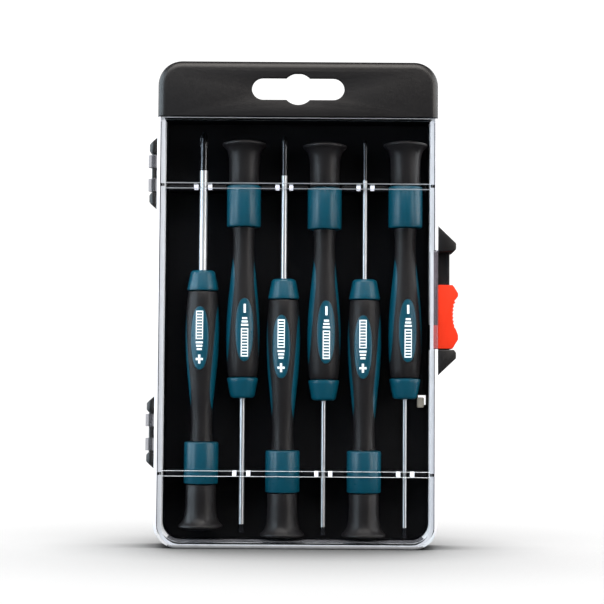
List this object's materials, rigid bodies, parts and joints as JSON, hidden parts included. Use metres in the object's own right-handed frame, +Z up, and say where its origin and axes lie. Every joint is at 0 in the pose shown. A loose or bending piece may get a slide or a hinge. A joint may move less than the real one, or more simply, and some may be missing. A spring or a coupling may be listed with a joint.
{
  "type": "precision screwdriver set",
  "caption": "Precision screwdrivers with swivel caps, held head to tail in a slim hinged case with a clear lid, a side slide latch and a hang slot.",
  "frame": {"origin": "on the floor under the middle of the case's width, in the plane of the screwdrivers' axes", "axes": "+Z up along the screwdrivers, +X to the latch side, +Y to the case's back; the clear lid faces -Y"},
  "size_m": [0.112, 0.022, 0.174],
  "materials": {
    "case_black": "satin black moulded plastic with a fine grain",
    "clear_plastic": "clear polished plastic",
    "latch_orange": "satin orange moulded plastic",
    "tab_ivory": "ivory moulded plastic",
    "chrome_steel": "polished plated steel with dark oxide tips",
    "handle_teal": "satin teal moulded plastic",
    "grip_black": "soft black matte grip"
  },
  "bodies": {
    "case": {"base_shell": "case_black", "window_tab": "tab_ivory"},
    "lid": {"clear_lid": "clear_plastic"},
    "latch": {"latch_slider": "latch_orange"},
    "driver_1": {"blade_1": "chrome_steel", "handle_core_1": "handle_teal", "grip_sleeve_1": "grip_black"},
    "cap_1": {"swivel_cap_1": "grip_black"},
    "driver_2": {"blade_2": "chrome_steel", "handle_core_2": "handle_teal", "grip_sleeve_2": "grip_black"},
    "cap_2": {"swivel_cap_2": "grip_black"},
    "driver_3": {"blade_3": "chrome_steel", "handle_core_3": "handle_teal", "grip_sleeve_3": "grip_black"},
    "cap_3": {"swivel_cap_3": "grip_black"},
    "driver_4": {"blade_4": "chrome_steel", "handle_core_4": "handle_teal", "grip_sleeve_4": "grip_black"},
    "cap_4": {"swivel_cap_4": "grip_black"},
    "driver_5": {"blade_5": "chrome_steel", "handle_core_5": "handle_teal", "grip_sleeve_5": "grip_black"},
    "cap_5": {"swivel_cap_5": "grip_black"},
    "driver_6": {"blade_6": "chrome_steel", "handle_core_6": "handle_teal", "grip_sleeve_6": "grip_black"},
    "cap_6": {"swivel_cap_6": "grip_black"}
  },
  "joints": [
    {"name": "lid_hinge", "type": "hinge", "parent": "case", "child": "lid", "pos_m": [-0.0522, -0.001, 0.0875], "axis": [0, 0, -1], "range_deg": [0, 180]},
    {"name": "latch_slide", "type": "slide", "parent": "case", "child": "latch", "axis": [0, 0, 1], "range_m": [0, 0.0115]},
    {"name": "driver_1_turn", "type": "hinge", "parent": "case", "child": "driver_1", "pos_m": [-0.0341, 0, 0.08], "axis": [0, 0, 1], "continuous": true},
    {"name": "cap_1_swivel", "type": "hinge", "parent": "driver_1", "child": "cap_1", "pos_m": [-0.0341, 0, 0.012], "axis": [0, 0, 1], "continuous": true},
    {"name": "driver_2_turn", "type": "hinge", "parent": "case", "child": "driver_2", "pos_m": [-0.01945, 0, 0.08], "axis": [0, 0, 1], "continuous": true},
    {"name": "cap_2_swivel", "type": "hinge", "parent": "driver_2", "child": "cap_2", "pos_m": [-0.01945, 0, 0.14], "axis": [0, 0, 1], "continuous": true},
    {"name": "driver_3_turn", "type": "hinge", "parent": "case", "child": "driver_3", "pos_m": [-0.0048, 0, 0.08], "axis": [0, 0, 1], "continuous": true},
    {"name": "cap_3_swivel", "type": "hinge", "parent": "driver_3", "child": "cap_3", "pos_m": [-0.0048, 0, 0.012], "axis": [0, 0, 1], "continuous": true},
    {"name": "driver_4_turn", "type": "hinge", "parent": "case", "child": "driver_4", "pos_m": [0.00985, 0, 0.08], "axis": [0, 0, 1], "continuous": true},
    {"name": "cap_4_swivel", "type": "hinge", "parent": "driver_4", "child": "cap_4", "pos_m": [0.00985, 0, 0.14], "axis": [0, 0, 1], "continuous": true},
    {"name": "driver_5_turn", "type": "hinge", "parent": "case", "child": "driver_5", "pos_m": [0.0245, 0, 0.08], "axis": [0, 0, 1], "continuous": true},
    {"name": "cap_5_swivel", "type": "hinge", "parent": "driver_5", "child": "cap_5", "pos_m": [0.0245, 0, 0.012], "axis": [0, 0, 1], "continuous": true},
    {"name": "driver_6_turn", "type": "hinge", "parent": "case", "child": "driver_6", "pos_m": [0.03915, 0, 0.08], "axis": [0, 0, 1], "continuous": true},
    {"name": "cap_6_swivel", "type": "hinge", "parent": "driver_6", "child": "cap_6", "pos_m": [0.03915, 0, 0.14], "axis": [0, 0, 1], "continuous": true}
  ]
}
